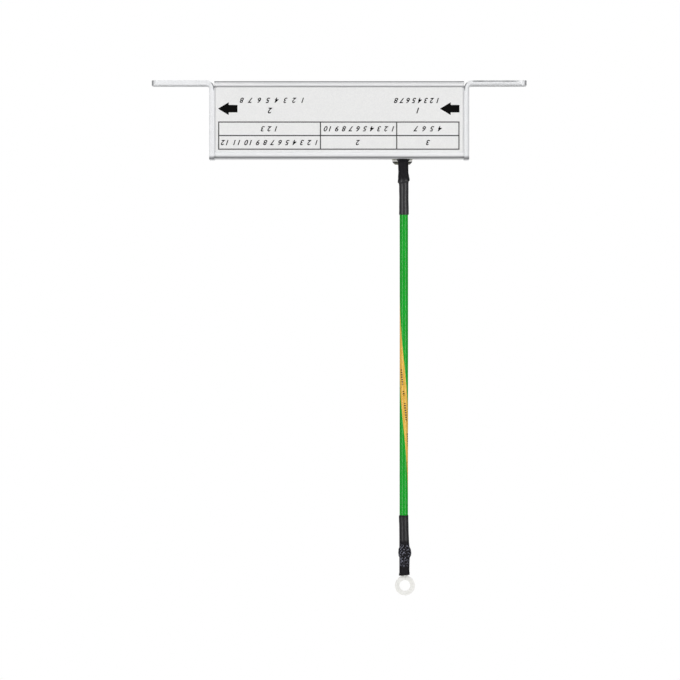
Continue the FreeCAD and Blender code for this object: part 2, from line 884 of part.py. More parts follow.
def make_terminal():
    """The ring terminal hangs at the lead's end with its eye facing the front."""
    body = new_body("Terminal")
    middle = s.barrel_length / 2
    strip = new_sketch(body, "XZ")
    half = s.strip_width / 2
    rectangle(strip, -half, half, -s.strip_reach, -middle + s.strip_thick)
    pad(body, strip, s.strip_thick, both=True)
    ring = new_sketch(body, "XZ")
    circle(ring, 0, -s.strip_reach, s.ring_radius)
    pad(body, ring, s.strip_thick, both=True)
    barrel = new_sketch(body, "XY", lift=-middle)
    circle(barrel, 0, 0, s.barrel_radius)
    pad(body, barrel, s.barrel_length)
    bore = new_sketch(body, "XY", lift=middle)
    circle(bore, 0, 0, s.barrel_bore)
    pocket(body, bore, depth=s.barrel_length)
    eye = new_sketch(body, "XZ")
    circle(eye, 0, -s.strip_reach, s.eye_radius)
    pocket(body, eye, both=True)
    place(body, lead_x, lead_y, terminal_z, V(0, -1, 0), s.terminal_lean)
    keep(body, "ring_terminal")


def make_lead():
    """The lead hangs straight: insulation, core, and a sleeve over each crimped barrel."""
    wire = rod("Wire_tube", s.wire_radius, wire_top - wire_end, lead_x, lead_y, wire_end)
    bore = rod("Wire_bore", s.wire_bore, wire_top - wire_end, lead_x, lead_y, wire_end)
    keep(cut("Wire", wire, [bore]), "ground_wire")
    core_top = wire_top + s.core_reach
    core_end = wire_end - s.core_reach
    keep(rod("Core", s.core_radius, core_top - core_end, lead_x, lead_y, core_end), "wire_core")

    upper = new_body("Upper_sleeve")
    turned = new_sketch(upper, "XZ")
    grip = s.wire_radius + s.sleeve_play
    over_barrel = grip + s.sleeve_play
    swell_top = sleeve_top - s.upper_swell_top
    swell_end = sleeve_top - s.upper_swell_end
    outline(turned, [
        (over_barrel, sleeve_top),
        (s.upper_sleeve_radius, sleeve_top),
        (s.upper_sleeve_radius, swell_top),
        (s.upper_swell_radius, swell_top),
        (s.upper_swell_radius, swell_end),
        (s.upper_tail_radius, swell_end),
        (s.upper_tail_radius, sleeve_end),
        (grip, sleeve_end),
        (grip, wire_top),
        (over_barrel, wire_top),
    ])
    revolved(upper, turned)
    notch = new_sketch(upper, "XY", lift=lug_top - s.strip_thick - s.sleeve_clear)
    half = s.strip_width / 2 + s.sleeve_clear
    rectangle(notch, -half, half, 0, s.upper_swell_radius)
    pocket(upper, notch, back=True)
    place(upper, lead_x, lead_y, 0, angle=s.lug_turn)
    keep(upper, "upper_sleeve")

    lower = new_body("Lower_sleeve")
    turned = new_sketch(lower, "XZ")
    swell = lower_top - s.lower_swell_place
    outline(turned, [
        (grip, lower_top),
        (s.lower_sleeve_radius, lower_top),
        (s.lower_sleeve_radius, swell + s.lower_swell_half),
        (s.lower_swell_radius, swell + s.lower_swell_half),
        (s.lower_swell_radius, swell - s.lower_swell_half),
        (s.lower_neck_radius, swell - s.lower_swell_half),
        (s.lower_neck_radius, lower_end),
        (s.lower_bore, lower_end),
        (s.lower_bore, wire_end),
        (grip, wire_end),
    ])
    revolved(lower, turned)
    place(lower, lead_x, lead_y, 0)
    keep(lower, "lower_sleeve")


def check_parts():
    """Stop on any failed object, or on a part with no valid solid."""
    for obj in doc.Objects:
        if "Invalid" in obj.State or "Error" in obj.State:
            raise RuntimeError(f"{obj.Name} failed: {obj.State}")
    for part in PARTS:
        if part.Shape.isNull() or not part.Shape.isValid() or not part.Shape.Solids:
            raise RuntimeError(f"{part.Label} has no valid solid")


def write_parts():
    os.makedirs("parts", exist_ok=True)
    for part in PARTS:
        part.Shape.exportStep(f"parts/{part.Label}.step")


def report_lead():
    solid = [part for part in PARTS if part.Label == "ground_wire"][0].Shape
    length = wire_top.value - wire_end.value
    section = math.pi * (s.wire_radius.value ** 2 - s.wire_bore.value ** 2)
    print(f"lead: straight, {length:.1f} mm of insulated wire,",
          f"volume {solid.Volume:.1f} against section by length {section * length:.1f}")


make_housing()
make_label()
make_end_plates()
make_end_screws()
make_board()
make_jacks()
make_gas_tubes()
make_diodes()
make_resistors()
make_earth_strap()
make_screw_stack()
make_lug()
make_lead()
make_terminal()
doc.recompute()
check_parts()
report_lead()
write_parts()
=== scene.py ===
import bmesh
import bpy
import math
from mathutils import Matrix, Vector, noise


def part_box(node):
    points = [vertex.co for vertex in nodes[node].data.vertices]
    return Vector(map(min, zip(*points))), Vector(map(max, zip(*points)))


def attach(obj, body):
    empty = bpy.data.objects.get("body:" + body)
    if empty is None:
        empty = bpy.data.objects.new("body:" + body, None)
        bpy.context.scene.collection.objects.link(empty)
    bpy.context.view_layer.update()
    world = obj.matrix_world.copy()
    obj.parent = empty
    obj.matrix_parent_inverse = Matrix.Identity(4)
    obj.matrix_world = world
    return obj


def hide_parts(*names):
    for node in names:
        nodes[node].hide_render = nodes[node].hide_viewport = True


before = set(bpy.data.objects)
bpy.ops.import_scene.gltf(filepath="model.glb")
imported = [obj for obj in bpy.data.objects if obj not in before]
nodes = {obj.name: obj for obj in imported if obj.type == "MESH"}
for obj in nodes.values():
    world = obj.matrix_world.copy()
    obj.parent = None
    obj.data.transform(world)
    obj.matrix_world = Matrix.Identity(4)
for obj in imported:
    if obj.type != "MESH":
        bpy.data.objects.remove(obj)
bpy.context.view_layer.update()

MM = 0.001
UP = Vector((0, 0, 1))
FRONT = Vector((0, -1, 0))
LABEL_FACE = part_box("front_label")[0].y


def linked(name, data):
    """A new object of that data, in the scene."""
    made = bpy.data.objects.new(name, data)
    bpy.context.scene.collection.objects.link(made)
    return made


# The camera stands square on, far off behind a long lens. PIXEL is one pixel's width at the
# label's face. The object's middle comes at MIDDLE_COLUMN of the picture and its top at TOP_ROW.
PHOTO_WIDTH = 680
PIXEL = 0.4 * MM
MIDDLE_COLUMN = 339.2
TOP_ROW = 80.3
SENSOR = 36.0
LENS = 600.0
NEAREST = 0.1
FARTHEST = 50.0


def make_camera():
    data = bpy.data.cameras.new("camera")
    data.sensor_width = SENSOR
    data.lens = LENS
    data.clip_start = NEAREST
    data.clip_end = FARTHEST
    camera = linked("camera", data)
    distance = PHOTO_WIDTH * PIXEL * LENS / SENSOR
    half_frame = PHOTO_WIDTH / 2
    camera.location = ((half_frame - MIDDLE_COLUMN) * PIXEL, LABEL_FACE - distance,
                       (TOP_ROW - half_frame) * PIXEL)
    camera.rotation_euler = (math.radians(90), 0, 0)
    bpy.context.scene.camera = camera


# The lead's route: down from the lug, with the slight sway that it has in the photo.
LEAD_RADIUS = 1.7 * MM
LEAD_X = 25.896 * MM
LEAD_Y = -7.577 * MM
LEAD_ROUTE = [
    (LEAD_X, LEAD_Y, -0.03825),
    (0.02588, LEAD_Y, -0.0480),
    (0.02590, -0.00754, -0.0660),
    (0.02592, -0.00760, -0.0900),
    (0.02590, -0.00758, -0.1180),
    (0.02588, -0.00754, -0.1440),
    (0.02586, -0.00756, -0.1660),
    (0.02588, LEAD_Y, -0.1810),
    (LEAD_X, LEAD_Y, -0.19215),
]
STEPS_ALONG = 16
STEPS_ROUND = 10


def make_lead():
    curve = bpy.data.curves.new("earth_lead", "CURVE")
    curve.dimensions = "3D"
    spline = curve.splines.new("NURBS")
    spline.points.add(len(LEAD_ROUTE) - 1)
    for point, place in zip(spline.points, LEAD_ROUTE):
        point.co = (*place, 1)
    spline.order_u = 3
    spline.use_endpoint_u = True
    spline.resolution_u = STEPS_ALONG
    curve.bevel_depth = LEAD_RADIUS
    curve.bevel_resolution = STEPS_ROUND
    curve.use_fill_caps = True
    return linked("earth_lead", curve)


# Shader maths.

def srgb(red, green, blue):
    """A colour from the 0 to 255 values that it shows as."""
    linear = []
    for level in (red, green, blue):
        level = level / 255
        linear.append(level / 12.92 if level <= 0.04045 else ((level + 0.055) / 1.055) ** 2.4)
    return (*linear, 1.0)


class Wave:
    """A value that changes over a surface. Maths on it adds Math nodes to its graph."""

    def __init__(self, graph, socket):
        self.graph = graph
        self.socket = socket

    def combine(self, operation, first, second=0.0):
        return self.graph.node("ShaderNodeMath", {"operation": operation}, {0: first, 1: second})

    def __add__(self, other):
        return self.combine("ADD", self, other)

    def __radd__(self, other):
        return self.combine("ADD", other, self)

    def __sub__(self, other):
        return self.combine("SUBTRACT", self, other)

    def __rsub__(self, other):
        return self.combine("SUBTRACT", other, self)

    def __mul__(self, other):
        return self.combine("MULTIPLY", self, other)

    def __rmul__(self, other):
        return self.combine("MULTIPLY", other, self)

    def __truediv__(self, other):
        return self.combine("DIVIDE", self, other)

    def __pow__(self, other):
        return self.combine("POWER", self, other)

    def angle_from(self, other):
        return self.combine("ARCTAN2", self, other)

    def cosine(self):
        return self.combine("COSINE", self)

    def size(self):
        return self.combine("ABSOLUTE", self)

    def or_else(self, other):
        return self.combine("MAXIMUM", self, other)

    def between(self, low, high):
        """0 below low, 1 above high, and a smooth rise from one to the other."""
        return self.graph.node("ShaderNodeMapRange", {"interpolation_type": "SMOOTHSTEP"},
                               {"Value": self, "From Min": low, "From Max": high})

    def above(self, low, high):
        """The same rise for a value in metres, from low to high in mm."""
        return self.between(low * MM, high * MM)

    def below(self, low, high):
        """The fall from 1 to 0 over the same two marks."""
        return 1 - self.above(low, high)

    def within(self, start, full, fade, end):
        """1 from full to fade, and 0 before start and after end, all in mm."""
        return self.above(start, full) * self.below(fade, end)


class Graph:
    """A node tree and the one way that nodes get into it."""

    def __init__(self, tree):
        self.tree = tree

    def node(self, kind, settings, inputs, output=0):
        made = self.tree.nodes.new(kind)
        for setting, choice in settings.items():
            setattr(made, setting, choice)
        for key, amount in inputs.items():
            self.feed(made.inputs[key], amount)
        return Wave(self, made.outputs[output])

    def feed(self, socket, amount):
        if isinstance(amount, Wave):
            self.tree.links.new(amount.socket, socket)
        else:
            socket.default_value = amount

    def parts(self, vector, axes):
        """The parts of a vector along those axes."""
        return [self.node("ShaderNodeSeparateXYZ", {}, {"Vector": vector}, axis) for axis in axes]


NOISE_ROUGHNESS = 0.6


class Finish(Graph):
    """One material, made from a shader with fixed values and the nodes that vary it."""

    def __init__(self, name, colour, roughness, metallic=0.0, **fixed):
        self.material = bpy.data.materials.new(name)
        self.material.use_nodes = True
        super().__init__(self.material.node_tree)
        self.shader = self.tree.nodes["Principled BSDF"]
        self.shader.inputs["Base Color"].default_value = colour
        self.shader.inputs["Roughness"].default_value = roughness
        self.shader.inputs["Metallic"].default_value = metallic
        for socket, amount in fixed.items():
            self.shader.inputs[socket.replace("_", " ")].default_value = amount

    def set(self, socket, amount):
        self.feed(self.shader.inputs[socket], amount)

    def place(self, stretch=(1, 1, 1)):
        """The place on the object, in metres, after an optional stretch."""
        point = self.node("ShaderNodeTexCoord", {}, {}, "Object")
        if stretch == (1, 1, 1):
            return point
        return self.node("ShaderNodeMapping", {"vector_type": "POINT"},
                         {"Vector": point, "Scale": stretch})

    def axes(self, names="XYZ"):
        return self.parts(self.place(), names)

    def grain(self, size, detail=2.0, stretch=(1, 1, 1)):
        """Soft noise from 0 to 1 whose patches are about that size, in mm."""
        return self.node("ShaderNodeTexNoise", {},
                         {"Vector": self.place(stretch), "Scale": 1 / (size * MM),
                          "Detail": detail, "Roughness": NOISE_ROUGHNESS})

    def mix(self, mask, first, second):
        return self.node("ShaderNodeMix", {"data_type": "RGBA"},
                         {0: mask, 6: first, 7: second}, 2)

    def bump(self, height, depth):
        """Relief of that depth in mm from a height of 0 to 1."""
        self.set("Normal", self.node("ShaderNodeBump", {},
                                     {"Height": height, "Distance": depth * MM}))


# Finishes. Two marks are a soft step, and four are a band with soft ends.

# Marks of the box's painted shade in mm: up from the label's top, then in from the box's front,
# sides, top and bottom.
BED_LIP = (-0.3, 0.0, 0.5, 0.9)
BED_DEPTH = (0.7, 0.9)
BOX_ROUNDING = (-1.8, -1.1)
TOP_EDGE = (-0.5, -0.3)
LOW_EDGE = (0.5, 1.3)


def anodised_extrusion():
    """Satin aluminium with fine die lines along the box, with painted shade on its rounded long
    edges and a painted shadow in the corner under the label bed's lip."""
    finish = Finish("anodised_extrusion", srgb(236, 237, 238), roughness=0.5, metallic=0.2,
                    Specular_IOR_Level=0.2)
    y, z = finish.axes("YZ")
    low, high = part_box("housing")
    label_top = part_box("front_label")[1].z
    lines = finish.grain(0.35, 3.0, (0.01, 1, 1))
    cloud = finish.grain(6, 3.0, (0.15, 1, 1))
    tone = finish.mix(cloud.between(0.3, 0.7), srgb(234, 235, 236), srgb(238, 238, 239))
    # Painted shadow in the corner under the lip, and painted shade along the rounded top and
    # bottom edges.
    lip = (z - label_top).within(*BED_LIP) * (y - low.y).below(*BED_DEPTH)
    outward = (y.size() - high.y).above(*BOX_ROUNDING)
    top_edge_shade = (z - high.z).above(*TOP_EDGE) * outward
    low_edge_shade = (z - low.z).below(*LOW_EDGE) * outward
    edge_and_lip_shade = (lip * 0.62).or_else(top_edge_shade).or_else(low_edge_shade * 0.8)
    finish.set("Base Color", finish.mix(edge_and_lip_shade, tone, srgb(112, 113, 115)))
    finish.set("Roughness", 0.5 + lines * 0.14)
    finish.bump(lines, 0.004)
    return finish.material


BEND_OUTER = 3.2 * MM
SHEET = 2.0 * MM
# Marks of the painted shade across the sheet, as shares of its thickness from the outer face.
INNER_RIM = (0.5, 0.9)
LEFT_RIM_SHIFT = 0.2
GAP_DEPTH = (0.05, 0.3)
CREST_STARTS = (0.02, 0.1)
CREST_ENDS = (0.25, 0.42)
# Marks of the painted shade on the plate in mm: in from its sides, top, foot, wall and tip, in
# that order.
SHEARED_SIDE = (-0.3, -0.1)
EAR_CORNER = (-3.3, -1.5)
BEND_HEIGHT = (-4.6, -3.0, -1.4, -0.6)
PLATE_FOOT = (0.4, 1.7)
CREST_FROM_WALL = (3, 4)
CREST_TO_TIP = (-5, -2.5)
EAR_TIP = (-0.9, -0.5)


def blasted_plate():
    """Sheet aluminium, blasted before anodising. Its sheared edges have painted shade at their
    inner rims, a painted shadow in the gap at the bend, and painted shade at the foot and along
    the crest of the right ear. The ears' outer corners have painted shade too."""
    finish = Finish("blasted_plate", srgb(232, 233, 235), roughness=0.5, metallic=0.25,
                    Specular_IOR_Level=0.3)
    x, y, z = finish.axes()
    specks = finish.grain(0.22)
    cloud = finish.grain(4)
    tone = specks.between(0.32, 0.68) * 0.8 + cloud * 0.2
    sheet = finish.mix(tone, srgb(215, 217, 219), srgb(244, 244, 245))
    low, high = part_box("end_plate_in")
    beside = (low.x + BEND_OUTER - x.size()).or_else(0.0)
    over = (z - (high.z - BEND_OUTER)).or_else(0.0)
    # The depth into the sheet, from 0 at the bend's outer face to 1 at its inner face.
    depth = (BEND_OUTER - (beside * beside + over * over) ** 0.5) / SHEET
    aside = y.size() - high.y
    sheared = aside.above(*SHEARED_SIDE)
    left_plate = x.below(-1, 1)
    # Painted shade along the inner rims of the sheared edges.
    rim = (depth - left_plate * LEFT_RIM_SHIFT).between(*INNER_RIM) * sheared
    rim_shaded = finish.mix(rim * 0.8, sheet, srgb(190, 191, 193))
    # Painted shadow in the gap at the bend, and painted shade at the foot, along the right ear's
    # crest and at the ears' outer corners.
    gap = (1 - depth.between(*GAP_DEPTH)) * (z - high.z).within(*BEND_HEIGHT)
    foot = (z - low.z).below(*PLATE_FOOT) * 0.85
    crest = depth.between(*CREST_STARTS) * (1 - depth.between(*CREST_ENDS))
    right_ear = (x - low.x).above(*CREST_FROM_WALL) * (x - high.x).below(*CREST_TO_TIP)
    crest = crest * right_ear * (0.3 + cloud * 0.7)
    corner = (x.size() - high.x).above(*EAR_TIP) * aside.above(*EAR_CORNER)
    painted_light = (gap.or_else(foot).or_else(crest) * sheared).or_else(corner * 0.7)
    finish.set("Base Color", finish.mix(painted_light, rim_shaded, srgb(92, 93, 96)))
    finish.set("Roughness", 0.5 + specks * 0.2)
    finish.bump(specks, 0.02)
    return finish.material


def printed_film():
    """The label's film: a satin pale grey with a faint mottle."""
    finish = Finish("printed_film", srgb(234, 234, 234), roughness=0.38,
                    Specular_IOR_Level=0.3)
    mottle = finish.grain(0.5, 3.0)
    cloud = finish.grain(14)
    finish.set("Base Color", finish.mix(mottle.between(0.3, 0.7) * 0.7 + cloud * 0.3,
                                        srgb(230, 230, 230), srgb(238, 238, 237)))
    finish.set("Roughness", 0.34 + mottle * 0.12)
    finish.bump(mottle, 0.003)
    return finish.material


INK_UNEVEN = 0.003


def print_ink(name, colour):
    """Screen ink with slightly uneven cover."""
    finish = Finish(name, colour, roughness=0.5, Specular_IOR_Level=0.02)
    cover = finish.grain(0.3)
    lighter = (*(level + INK_UNEVEN for level in colour[:3]), 1.0)
    finish.set("Base Color", finish.mix(cover, colour, lighter))
    finish.set("Roughness", 0.42 + cover * 0.16)
    return finish.material


def plated(name, pale, dark, roughness, metallic=0.9, painted_shade=None):
    """A bright plated or passivated metal with a little uneven tone and fine marks. The optional
    function gives where painted shade darkens it, if it is anywhere."""
    finish = Finish(name, pale, roughness, metallic)
    tone = finish.grain(0.6, 3.0)
    marks = finish.grain(0.12)
    skin = finish.mix(tone.between(0.35, 0.7), pale, dark)
    if painted_shade:
        # Painted shade: the skin darkens towards near black where the function gives.
        skin = finish.mix(painted_shade(finish) * 0.8, skin, srgb(38, 38, 40))
    finish.set("Base Color", skin)
    finish.set("Roughness", roughness + marks * 0.14)
    finish.bump(marks, 0.004)
    return finish.material


# The screws' marks in mm: how far below an end screw's face its painted shade lies, then the
# earth screw's recess and rim, out from its middle and up from its face, where shade is painted.
END_RECESS = (-0.5, -0.2)
EARTH_RECESS = (2.1, 2.3)
EARTH_RECESS_UP = (0.2, 0.5)
EARTH_RIM = (3.2, 3.5)
EARTH_RIM_UP = (0.4, 0.7)


def end_recess(finish):
    """Painted shade: 1 below the heads of the end plates' screws, where only their recesses show.
    """
    across = finish.axes("X")[0].size()
    head_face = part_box("end_screws_in")[1].x
    return (across - head_face).below(*END_RECESS)


def earth_head(finish):
    """Painted shade: 1 in the recess of the earth screw, which opens downwards, and round its
    head's rim.
    """
    x, y, z = finish.axes()
    low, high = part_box("ground_screw")
    off_x = x - (low.x + high.x) / 2
    off_y = y - (low.y + high.y) / 2
    out = (off_x * off_x + off_y * off_y) ** 0.5
    up = z - low.z
    recess = out.below(*EARTH_RECESS) * up.above(*EARTH_RECESS_UP)
    rim = out.above(*EARTH_RIM) * up.above(*EARTH_RIM_UP)
    return recess.or_else(rim)


def moulded(name, colour, lighter, roughness):
    """Moulded plastic or epoxy with a fine spark-eroded texture."""
    finish = Finish(name, colour, roughness)
    texture = finish.grain(0.25)
    finish.set("Base Color", finish.mix(texture.between(0.3, 0.7), colour, lighter))
    finish.set("Roughness", roughness + texture * 0.12)
    finish.bump(texture, 0.008)
    return finish.material


WEAVE_PITCH = 0.8 * MM


def masked_laminate():
    """Green solder mask over the board's weave."""
    finish = Finish("masked_laminate", srgb(20, 92, 48), roughness=0.3)
    x, y = [(place * (math.tau / WEAVE_PITCH)).cosine() for place in finish.axes("XY")]
    weave = x * y
    tone = weave * 0.2 + finish.grain(2) * 0.8
    finish.set("Base Color", finish.mix(tone, srgb(12, 74, 38), srgb(28, 108, 58)))
    finish.set("Roughness", 0.24 + tone * 0.16)
    finish.bump(weave, 0.006)
    return finish.material


# The stripe faces the front at STRIPE_FRONT, and winds more slowly the farther it is from there.
STRIPE_PITCH = math.radians(3.9) / MM
STRIPE_SLOWS = 0.004 / MM
STRIPE_FRONT = -126.3 * MM
STRIPE_EDGE = math.cos(math.radians(52))
STRIPE_SOFT = 0.035
# The dashes: their runs along the stripe, how far a run fades at its ends, the step in the cosine
# that makes each dash, and their half height as an angle round the lead.
DASH_PITCH = 0.95 * MM
DASH_RUNS = ((-121.9, -115.0), (-126.4, -124.2), (-136.8, -129.0), (-146.6, -141.0))
RUN_FADE = 0.3
DASH_FADE = (-0.5, 0.1)
DASH_HALF_ANGLE = (0.16, 0.26)


def lead_insulation():
    """Glossy green with one yellow stripe that winds slowly round, and runs of short dashes
    along its middle."""
    finish = Finish("lead_insulation", srgb(1, 158, 28), roughness=0.12,
                    Specular_IOR_Level=0.24)
    x, y, z = finish.axes()
    angle = (x - LEAD_X).angle_from(LEAD_Y - y)
    along = STRIPE_FRONT - z
    phase = angle - along * STRIPE_PITCH * (1 - along.size() * STRIPE_SLOWS)
    stripe = phase.cosine().between(STRIPE_EDGE - STRIPE_SOFT, STRIPE_EDGE + STRIPE_SOFT)
    cloud = finish.grain(2.5, 3.0, (1, 1, 0.25))
    fine = finish.grain(0.35, 2.0, (1, 1, 0.3))
    shade = cloud * 0.7 + fine * 0.3
    spread = shade.between(0.3, 0.7)
    green_tone = finish.mix(spread, srgb(1, 155, 28), srgb(4, 165, 36))
    yellow_tone = finish.mix(spread, srgb(222, 170, 58), srgb(236, 190, 84))
    tone = finish.mix(stripe, green_tone, yellow_tone)
    strokes = (z * (math.tau / DASH_PITCH)).cosine().between(*DASH_FADE)
    height = 1 - phase.size().between(*DASH_HALF_ANGLE)
    reach = sum(z.within(low, low + RUN_FADE, high - RUN_FADE, high) for low, high in DASH_RUNS)
    finish.set("Base Color", finish.mix(strokes * height * reach, tone, srgb(46, 30, 22)))
    finish.set("Roughness", 0.13 + shade * 0.06)
    finish.bump(shade, 0.002)
    return finish.material


CREASES_ROUND = 9.0
CREASE_PITCH = 1.35 * MM
CREASE_EDGE = (0.7, 0.96)


def shrunk_sleeve(name, knurl_top, knurl_end, smooth_top, smooth_end, gloss):
    """Heat-shrunk black sleeve: matt over the crimp, smooth on the wire, creased on the knurl,
    with a painted highlight on patches of the creases.
    The places are in mm."""
    black = srgb(15, 14, 17)
    finish = Finish(name, black, roughness=0.6, Specular_IOR_Level=0.14, Coat_Roughness=0.3)
    x, y, z = finish.axes()
    smooth = z.within(smooth_end - 1, smooth_end, smooth_top - 1, smooth_top + 1)
    fine = finish.grain(0.4, 3.0, (1, 1, 0.4))
    turns = (x - LEAD_X).angle_from(LEAD_Y - y) * CREASES_ROUND
    rise = z * (math.tau / CREASE_PITCH)
    patches = finish.grain(0.7, 1.0)
    climbing = (turns + rise).cosine().between(*CREASE_EDGE)
    falling = (turns - rise).cosine().between(*CREASE_EDGE)
    knurl = z.within(knurl_end, knurl_end + 1, knurl_top - 1, knurl_top)
    creases = climbing.or_else(falling) * knurl
    # Painted highlight on patches of the knurl's creases.
    painted_light = creases * patches.between(0.46, 0.6)
    tone = finish.mix(fine.between(0.4, 0.75) * 0.5, black, srgb(35, 32, 39))
    finish.set("Base Color", finish.mix(painted_light * 0.9, tone, srgb(148, 150, 166)))
    finish.set("Roughness", 0.58 + fine * 0.12)
    finish.set("Coat Weight", smooth * gloss)
    finish.bump(fine * 0.3 + creases, 0.1)
    return finish.material


# Meshes.

SAME_POINT = 0.001 * MM
FLAT_ANGLE = math.radians(1)
CORNER_ANGLE = math.radians(35)


def coat(piece, finish):
    piece.data.materials.clear()
    piece.data.materials.append(finish)


def dress(piece, finish, replaced=()):
    """Make an object a piece that rides with the rest."""
    coat(piece, finish)
    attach(piece, "root")
    if replaced:
        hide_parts(*replaced)
    return piece


def modelled(name, shape):
    """A new object from a finished bmesh."""
    mesh = bpy.data.meshes.new(name)
    shape.to_mesh(mesh)
    shape.free()
    return linked(name, mesh)


def smooth_by_angle(piece, degrees=50):
    for face in piece.data.polygons:
        face.use_smooth = True
    piece.data.set_sharp_from_angle(angle=math.radians(degrees))
    weighted = piece.modifiers.new("weighted", "WEIGHTED_NORMAL")
    weighted.keep_sharp = True
    weighted.weight = 100


def merged_copy(node):
    """The node's solid with its loose triangles joined into whole faces."""
    shape = bmesh.new()
    shape.from_mesh(nodes[node].data)
    bmesh.ops.remove_doubles(shape, verts=shape.verts, dist=SAME_POINT)
    bmesh.ops.dissolve_limit(shape, angle_limit=FLAT_ANGLE, verts=shape.verts,
                             edges=shape.edges)
    return shape


def broken_edges(shape, width, segments):
    """Bevel the corners, as a deburred or moulded edge."""
    corners = [edge for edge in shape.edges
               if edge.is_manifold and edge.calc_face_angle() > CORNER_ANGLE]
    bmesh.ops.bevel(shape, geom=corners, offset=width, offset_type="OFFSET", affect="EDGES",
                    segments=segments, profile=0.5, material=-1, clamp_overlap=True)


def finished_node(node, finish, width, segments=2):
    """A piece in a node's place, with its corners broken by that width in mm."""
    shape = merged_copy(node)
    broken_edges(shape, width * MM, segments)
    piece = dress(modelled(node + "_piece", shape), finish, (node,))
    smooth_by_angle(piece)
    return piece


make_camera()
lead = make_lead()

aluminium = anodised_extrusion()
plate_metal = blasted_plate()
film = printed_film()
steel = plated("nickel_screw_steel", srgb(176, 176, 179), srgb(150, 150, 154), 0.4, 0.5,
               painted_shade=end_recess)
passivated = (srgb(140, 141, 122), srgb(62, 62, 46), 0.26)
zinc = plated("passivated_zinc", *passivated)
zinc_screw = plated("passivated_screw", *passivated, painted_shade=earth_head)
washer_zinc = plated("bright_zinc", srgb(214, 214, 206), srgb(178, 178, 168), 0.3)
tin = plated("tinned_strip", srgb(240, 239, 235), srgb(230, 230, 226), 0.42, 0.2)
shell = plated("shell_plate", srgb(198, 199, 202), srgb(184, 186, 190), 0.42, 0.4)
gold = plated("contact_gold", srgb(240, 205, 110), srgb(214, 172, 78), 0.2, 0.95)
lead_tin = plated("tinned_electrode", srgb(206, 206, 206), srgb(178, 178, 178), 0.32)
strap_brass = plated("tinned_strap", srgb(214, 210, 196), srgb(184, 178, 158), 0.3)
copper = plated("bare_copper_core", srgb(214, 140, 100), srgb(176, 104, 70), 0.28, 0.95)
jack_black = moulded("socket_moulding", srgb(34, 34, 37), srgb(46, 46, 50), 0.45)
epoxy_black = moulded("diode_moulding", srgb(38, 38, 41), srgb(52, 52, 56), 0.5)
ceramic = moulded("fired_ceramic", srgb(228, 224, 216), srgb(240, 238, 232), 0.4)
resistor_glaze = moulded("resistor_glaze", srgb(44, 44, 50), srgb(60, 60, 68), 0.3)
laminate = masked_laminate()
black_ink = print_ink("black_ink", srgb(8, 8, 8))
line_ink = print_ink("line_ink", srgb(74, 74, 74))

HIDDEN = {
    "circuit_board": laminate,
    "jack_contacts_in": gold,
    "jack_contacts_out": gold,
    "gas_tube_ceramics": ceramic,
    "gas_tube_electrodes": lead_tin,
    "surge_diodes": epoxy_black,
    "diode_terminals": lead_tin,
    "line_resistors": resistor_glaze,
    "earth_strap": strap_brass,
    "spring_washer": zinc,
    "earth_nut": zinc,
    "wire_core": copper,
}
for node, finish in HIDDEN.items():
    coat(nodes[node], finish)

finished_node("housing", aluminium, 0.12)
finished_node("front_label", film, 0.03)
for end in ("in", "out"):
    finished_node("end_plate_" + end, plate_metal, 0.2, 3)
    finished_node("end_screws_" + end, steel, 0.06)
    finished_node("jack_shell_" + end, shell, 0.05)
    finished_node("jack_insert_" + end, jack_black, 0.1)
finished_node("ground_screw", zinc_screw, 0.15, 3)
finished_node("lock_washer", washer_zinc, 0.05)
lug = finished_node("ground_lug", tin, 0.08)
ring = finished_node("ring_terminal", tin, 0.12, 3)


# The lead's two sleeves. Their sizes and levels are in mm.

SLEEVE_SIDES = 48
SLEEVE_STEP = 0.3
SLEEVE_BORE = 1.72
BORE_EDGE = 0.04
LEAD_CLEAR = 1.82
RIPPLE_DENSITY = 420
RIPPLE_STRETCH = 0.6
RIPPLE_HEIGHT = 0.07


def spun(profile):
    """A closed round piece on the lead's line, from its (radius, level) outline."""
    shape = bmesh.new()
    points = [shape.verts.new((LEAD_X + radius * MM, LEAD_Y, level * MM))
              for radius, level in profile]
    edges = [shape.edges.new((points[i - 1], points[i])) for i in range(len(points))]
    bmesh.ops.spin(shape, geom=edges + points, cent=(LEAD_X, LEAD_Y, 0), axis=UP,
                   angle=math.tau, steps=SLEEVE_SIDES, use_merge=True, use_duplicate=False)
    bmesh.ops.remove_doubles(shape, verts=shape.verts, dist=SAME_POINT)
    bmesh.ops.recalc_face_normals(shape, faces=shape.faces)
    return shape


def eased(level, marks):
    """A value between marks, each (level, value) from the top down, with soft changes."""
    if level >= marks[0][0]:
        return marks[0][1]
    for (high, before), (low, after) in zip(marks, marks[1:]):
        if level >= low:
            part = (high - level) / (high - low)
            part = part * part * (3 - 2 * part)
            return before + (after - before) * part
    return marks[-1][1]


def from_lead(point):
    """The way to a point from the lead's line, level."""
    return Vector((point.co.x - LEAD_X, point.co.y - LEAD_Y, 0))


def make_sleeve(node, outside, sway, tilt, finish):
    """A shrunk sleeve, from its radius, its centre's sway and its tilt by level."""
    top, end = outside[0][0], outside[-1][0]
    count = int((top - end) / SLEEVE_STEP)
    levels = [top - (top - end) * i / count for i in range(count + 1)]
    shape = spun([(SLEEVE_BORE, top), *((eased(level, outside), level) for level in levels),
                  (SLEEVE_BORE, end)])
    for point in shape.verts:
        level = point.co.z / MM
        arm = from_lead(point)
        side = arm.x / arm.length
        outer = arm.length > (SLEEVE_BORE + BORE_EDGE) * MM
        if outer:
            spot = Vector((arm.x, arm.y, point.co.z * RIPPLE_STRETCH)) * RIPPLE_DENSITY
            point.co += arm.normalized() * noise.noise(spot) * RIPPLE_HEIGHT * MM
        point.co.x += eased(level, sway) * MM
        arm = from_lead(point)
        if outer and arm.length < LEAD_CLEAR * MM:
            point.co += arm.normalized() * (LEAD_CLEAR * MM - arm.length)
        point.co.z += eased(level, tilt) * side * MM
    piece = dress(modelled(node + "_piece", shape), finish, (node,))
    smooth_by_angle(piece, degrees=40)
    return piece


